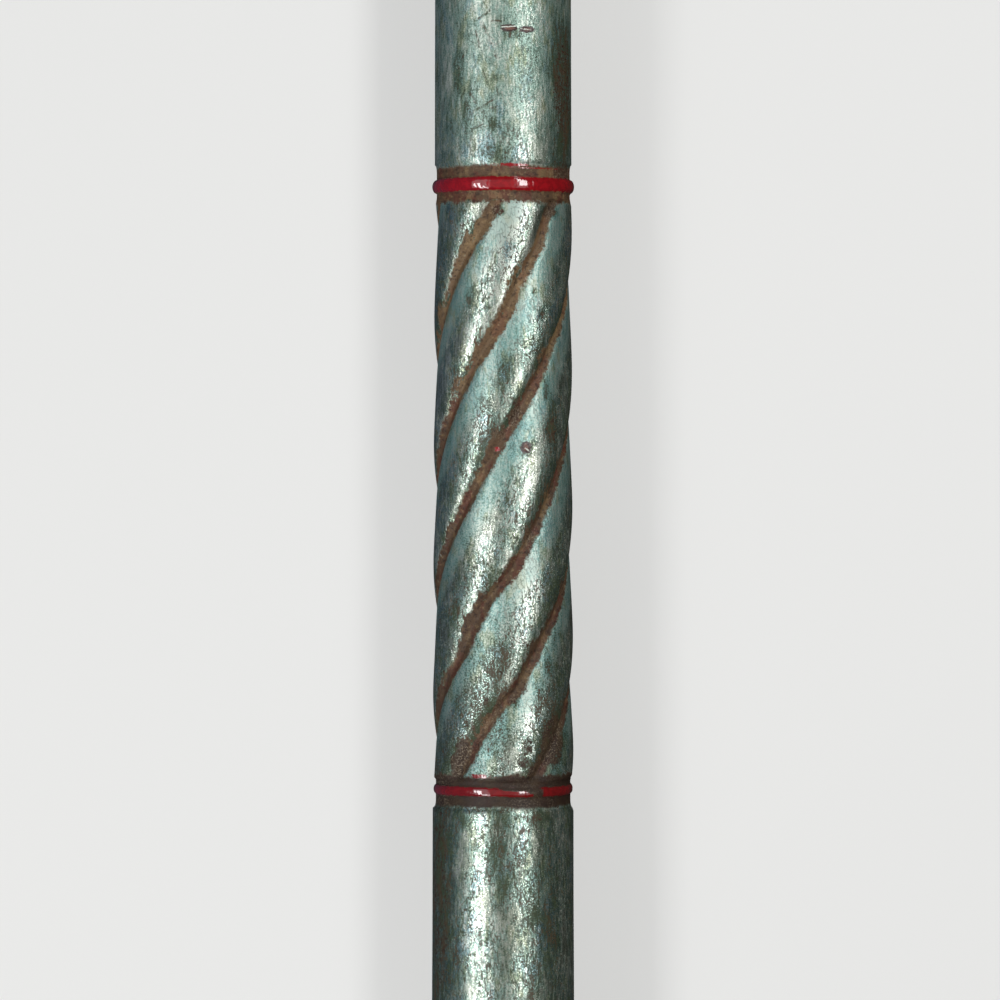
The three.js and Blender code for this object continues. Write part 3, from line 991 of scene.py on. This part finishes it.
def paint_colour(nodes, on):
    """The paint's tints, paler where it is fresh and where highlights are painted on, and darker where it is
    worn.
    """
    blue = nodes.mix(on.matt, *PAINT_BLUE_STRENGTH)
    buff = nodes.mix(on.matt, *PAINT_BUFF_STRENGTH)
    pale = nodes.mix(on.clean, *PAINT_PALE_STRENGTH)
    return nodes.over(
        PAINT_MIDDLE,
        (nodes.times(nodes.ramp(on.hue, *PAINT_BLUE_HUES), blue), PAINT_BLUE),
        (nodes.times(nodes.ramp(on.hue, *PAINT_BUFF_HUES), buff), PAINT_BUFF),
        (nodes.times(on.clean, PAINT_AQUA_STRENGTH), PAINT_AQUA),
        (nodes.ramp(on.tint, *PAINT_OLIVE_TINTS), PAINT_OLIVE),
        (nodes.times(on.beside_groove, OLIVE_BESIDE_GROOVE), PAINT_OLIVE),
        (nodes.times(nodes.ramp(on.level, *PAINT_PALE_LEVELS), pale), PAINT_PALE_AND_HIGHLIGHT),
        (nodes.ramp(on.level, *PAINT_DARK_LEVELS), PAINT_DARK),
    )


def wood_colour(nodes, on):
    """The bare wood's browns: tan up the middle rope, dark with grime, and buff crumbs in worn patches."""
    tan = nodes.times(nodes.ramp(on.shown_y, *WOOD_TAN_FROM), nodes.ramp(on.shown_y, *WOOD_TAN_UP_TO))
    return nodes.over(
        WOOD_BROWN,
        (nodes.ramp(on.tint, *WOOD_RED_TINTS), WOOD_RED),
        (nodes.ramp(on.broad, *WOOD_TAN_BROAD), WOOD_TAN),
        (nodes.ramp(on.ragged, *WOOD_TAN_RAGGED), WOOD_TAN),
        (tan, WOOD_TAN),
        (nodes.ramp(on.ragged, *WOOD_DARK_RAGGED), WOOD_DARK),
        (nodes.ramp(on.grit, *WOOD_DARK_GRIT), WOOD_DARK),
        (nodes.times(on.grime, GRIME_ON_WOOD), WOOD_DARK),
        (nodes.ramp(on.worn, *WOOD_DARK_WORN), WOOD_DARK),
        (nodes.times(on.worn, nodes.ramp(on.grit, *WORN_BUFF_GRIT)), PAINT_BUFF),
    )


def fine_relief(nodes, on, pits, wood, red):
    """The bump of the paint's grain, of its pits, of the bare wood and of the red enamel."""
    height = nodes.math("MULTIPLY_ADD", pits, PIT_RELIEF, on.grain)
    height = nodes.mix(wood, height, nodes.math("MULTIPLY_ADD", on.grit, WOOD_RELIEF, WOOD_RELIEF_START))
    height = nodes.mix(red, height, on.enamel)
    strength = nodes.mix(on.glossy, nodes.math("MULTIPLY_ADD", on.grime, GRIME_RELIEF, 1.0), GLOSSY_RELIEF)
    inputs = {"Height": height, "Distance": FINE_RELIEF * MM, "Strength": strength}
    return nodes.add("ShaderNodeBump", inputs)


def painted_wood():
    """Worn, varnished metallic paint with brown wood in the carving and red enamel on the beads."""
    material = bpy.data.materials.new("painted_wood")
    nodes = Nodes(material)
    on = read_staff(nodes)
    on.level = wear_level(nodes, on)
    pits, damage = paint_damage(nodes, on)
    from_knot = nodes.weigh(on, KNOT_STRAY, on.knot)
    knot = nodes.ramp(from_knot, *KNOT_EDGE)
    wood = nodes.ramp(wood_edge(nodes, on), *WOOD_EDGE)
    red = nodes.ramp(nodes.weigh(on, RED_STRAY, on.red), *RED_EDGE)
    # The share of the painted glints: pale strokes that stand in for highlights in the nick and the knot.
    pale = strokes_share(nodes, on.x, on.shown_y, on.z, PAINTED_GLINTS)
    red_layers = [
        (nodes.ramp(on.ragged, *RED_DEEP_RAGGED), RED_DEEP),
        (nodes.times(on.grime, GRIME_ON_RED), WOOD_DARK),
    ]
    colour = nodes.over(
        paint_colour(nodes, on),
        (damage, nodes.mix_colour(nodes.ramp(on.tint, *PIT_TINTS), PIT_BROWN, PIT_OLIVE)),
        (wood, wood_colour(nodes, on)),
        (knot, nodes.mix_colour(nodes.ramp(from_knot, *KNOT_RIM_EDGE), KNOT_CORE, KNOT_RIM)),
        (red, nodes.over(RED_BRIGHT, *red_layers)),
        # Painted highlights: the glints, laid on in pale paint.
        (nodes.times(pale, nodes.ramp(on.grit, *PAINTED_GLINT_GRIT)), PAINT_PALE_AND_HIGHLIGHT),
    )

    not_paint = damage
    for share in (wood, knot, red):
        not_paint = nodes.math("MAXIMUM", not_paint, share)
    metallic = nodes.mix(not_paint, nodes.mix(on.softer, *PAINT_METALLIC), 0.0)
    roughness = nodes.ramp(on.grit, *PAINT_ROUGHNESS_BY_GRIT)
    roughness = nodes.math("MULTIPLY_ADD", on.softer, SOFTER_ROUGHNESS, roughness)
    varnish = nodes.mix(on.glossy, nodes.mix(on.softer, *PAINT_VARNISH), GLOSSY_VARNISH)
    for share, finish in ((damage, PIT_FINISH), (wood, WOOD_FINISH), (red, RED_FINISH)):
        roughness = nodes.mix(share, roughness, finish[0])
        varnish = nodes.mix(share, varnish, finish[1])

    bump = fine_relief(nodes, on, pits, wood, red)
    inputs = {
        "Base Color": colour,
        "Metallic": metallic,
        "Roughness": roughness,
        "Normal": bump,
        "Specular IOR Level": SPECULAR_LEVEL,
        "Coat Weight": varnish,
        "Coat Roughness": VARNISH_ROUGHNESS,
        "Coat IOR": VARNISH_IOR,
        "Coat Normal": bump,
    }
    shader = nodes.add("ShaderNodeBsdfPrincipled", inputs)
    nodes.add("ShaderNodeOutputMaterial", {"Surface": shader}, output=None)
    return material


def make_camera():
    """Looks straight down on the middle rope, with the staff's head towards the top of the picture."""
    data = bpy.data.cameras.new("camera")
    data.sensor_width = SENSOR
    data.lens = SENSOR * CAMERA_DISTANCE / SHOWN_HEIGHT
    data.clip_end = CAMERA_REACH * MM
    camera = bpy.data.objects.new("camera", data)
    camera.location = Vector((-CAMERA_SHIFT_LEFT, SHOWN_Y, AXIS_HEIGHT + CAMERA_DISTANCE)) * MM
    bpy.context.collection.objects.link(camera)
    bpy.context.scene.camera = camera


def make_strip(name, degrees, width, power, shift):
    """A long soft light that faces the staff."""
    data = bpy.data.lights.new(name, "AREA")
    data.shape = "RECTANGLE"
    data.size = width * MM
    data.size_y = LIGHT_LENGTH * MM
    data.energy = power
    light = bpy.data.objects.new(name, data)
    angle = math.radians(degrees)
    offset = Vector((math.sin(angle), 0, math.cos(angle))) * LIGHT_DISTANCE
    light.location = (Vector((0, SHOWN_Y + shift, AXIS_HEIGHT)) + offset) * MM
    light.rotation_euler = (0, angle, 0)
    bpy.context.collection.objects.link(light)


def make_floor():
    """A plain pale floor with far walls of the same tone. They stay out of the staff's reflections, as black
    cards beside it would keep them."""
    mesh = bpy.data.meshes.new("floor")
    reach, height = FLOOR_REACH * MM, WALL_HEIGHT * MM
    around = [(-reach, -reach), (reach, -reach), (reach, reach), (-reach, reach)]
    corners = [(x, y, z) for z in (0.0, height) for x, y in around]
    walls = [(side, side + 4, (side + 1) % 4 + 4, (side + 1) % 4) for side in range(4)]
    mesh.from_pydata(corners, [], [(0, 1, 2, 3), *walls])
    floor = bpy.data.objects.new("floor", mesh)
    bpy.context.collection.objects.link(floor)
    material = bpy.data.materials.new("floor")
    nodes = Nodes(material)
    inputs = {
        "Base Color": FLOOR_COLOUR,
        "Roughness": FLOOR_ROUGHNESS,
        "Emission Color": FLOOR_GLOW,
        "Emission Strength": FLOOR_GLOW_STRENGTH,
    }
    shader = nodes.add("ShaderNodeBsdfPrincipled", inputs)
    nodes.add("ShaderNodeOutputMaterial", {"Surface": shader}, output=None)
    mesh.materials.append(material)
    floor.visible_glossy = False
    floor.visible_diffuse = False


def make_studio():
    """The lights, the dim light from all round, and screen colours shown as they are."""
    for name, (degrees, width, power, shift) in LIGHTS.items():
        make_strip(name, degrees, width, power, shift)
    world = bpy.data.worlds.new("studio")
    bpy.context.scene.world = world
    nodes = Nodes(world)
    towards = nodes.add("ShaderNodeTexCoord", output="Generated")
    right = nodes.add("ShaderNodeSeparateXYZ", {0: towards}, output="X")
    colour = nodes.mix_colour(nodes.ramp(right, *SKY_RANGE), SKY_LEFT, SKY_RIGHT)
    background = nodes.add("ShaderNodeBackground", {"Color": colour, "Strength": SKY_STRENGTH})
    nodes.add("ShaderNodeOutputWorld", {"Surface": background}, output=None)
    bpy.context.scene.view_settings.view_transform = "Standard"


make_camera()
staff = make_staff()
staff.data.materials.append(painted_wood())
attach(staff, "root")
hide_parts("staff")
make_floor()
make_studio()
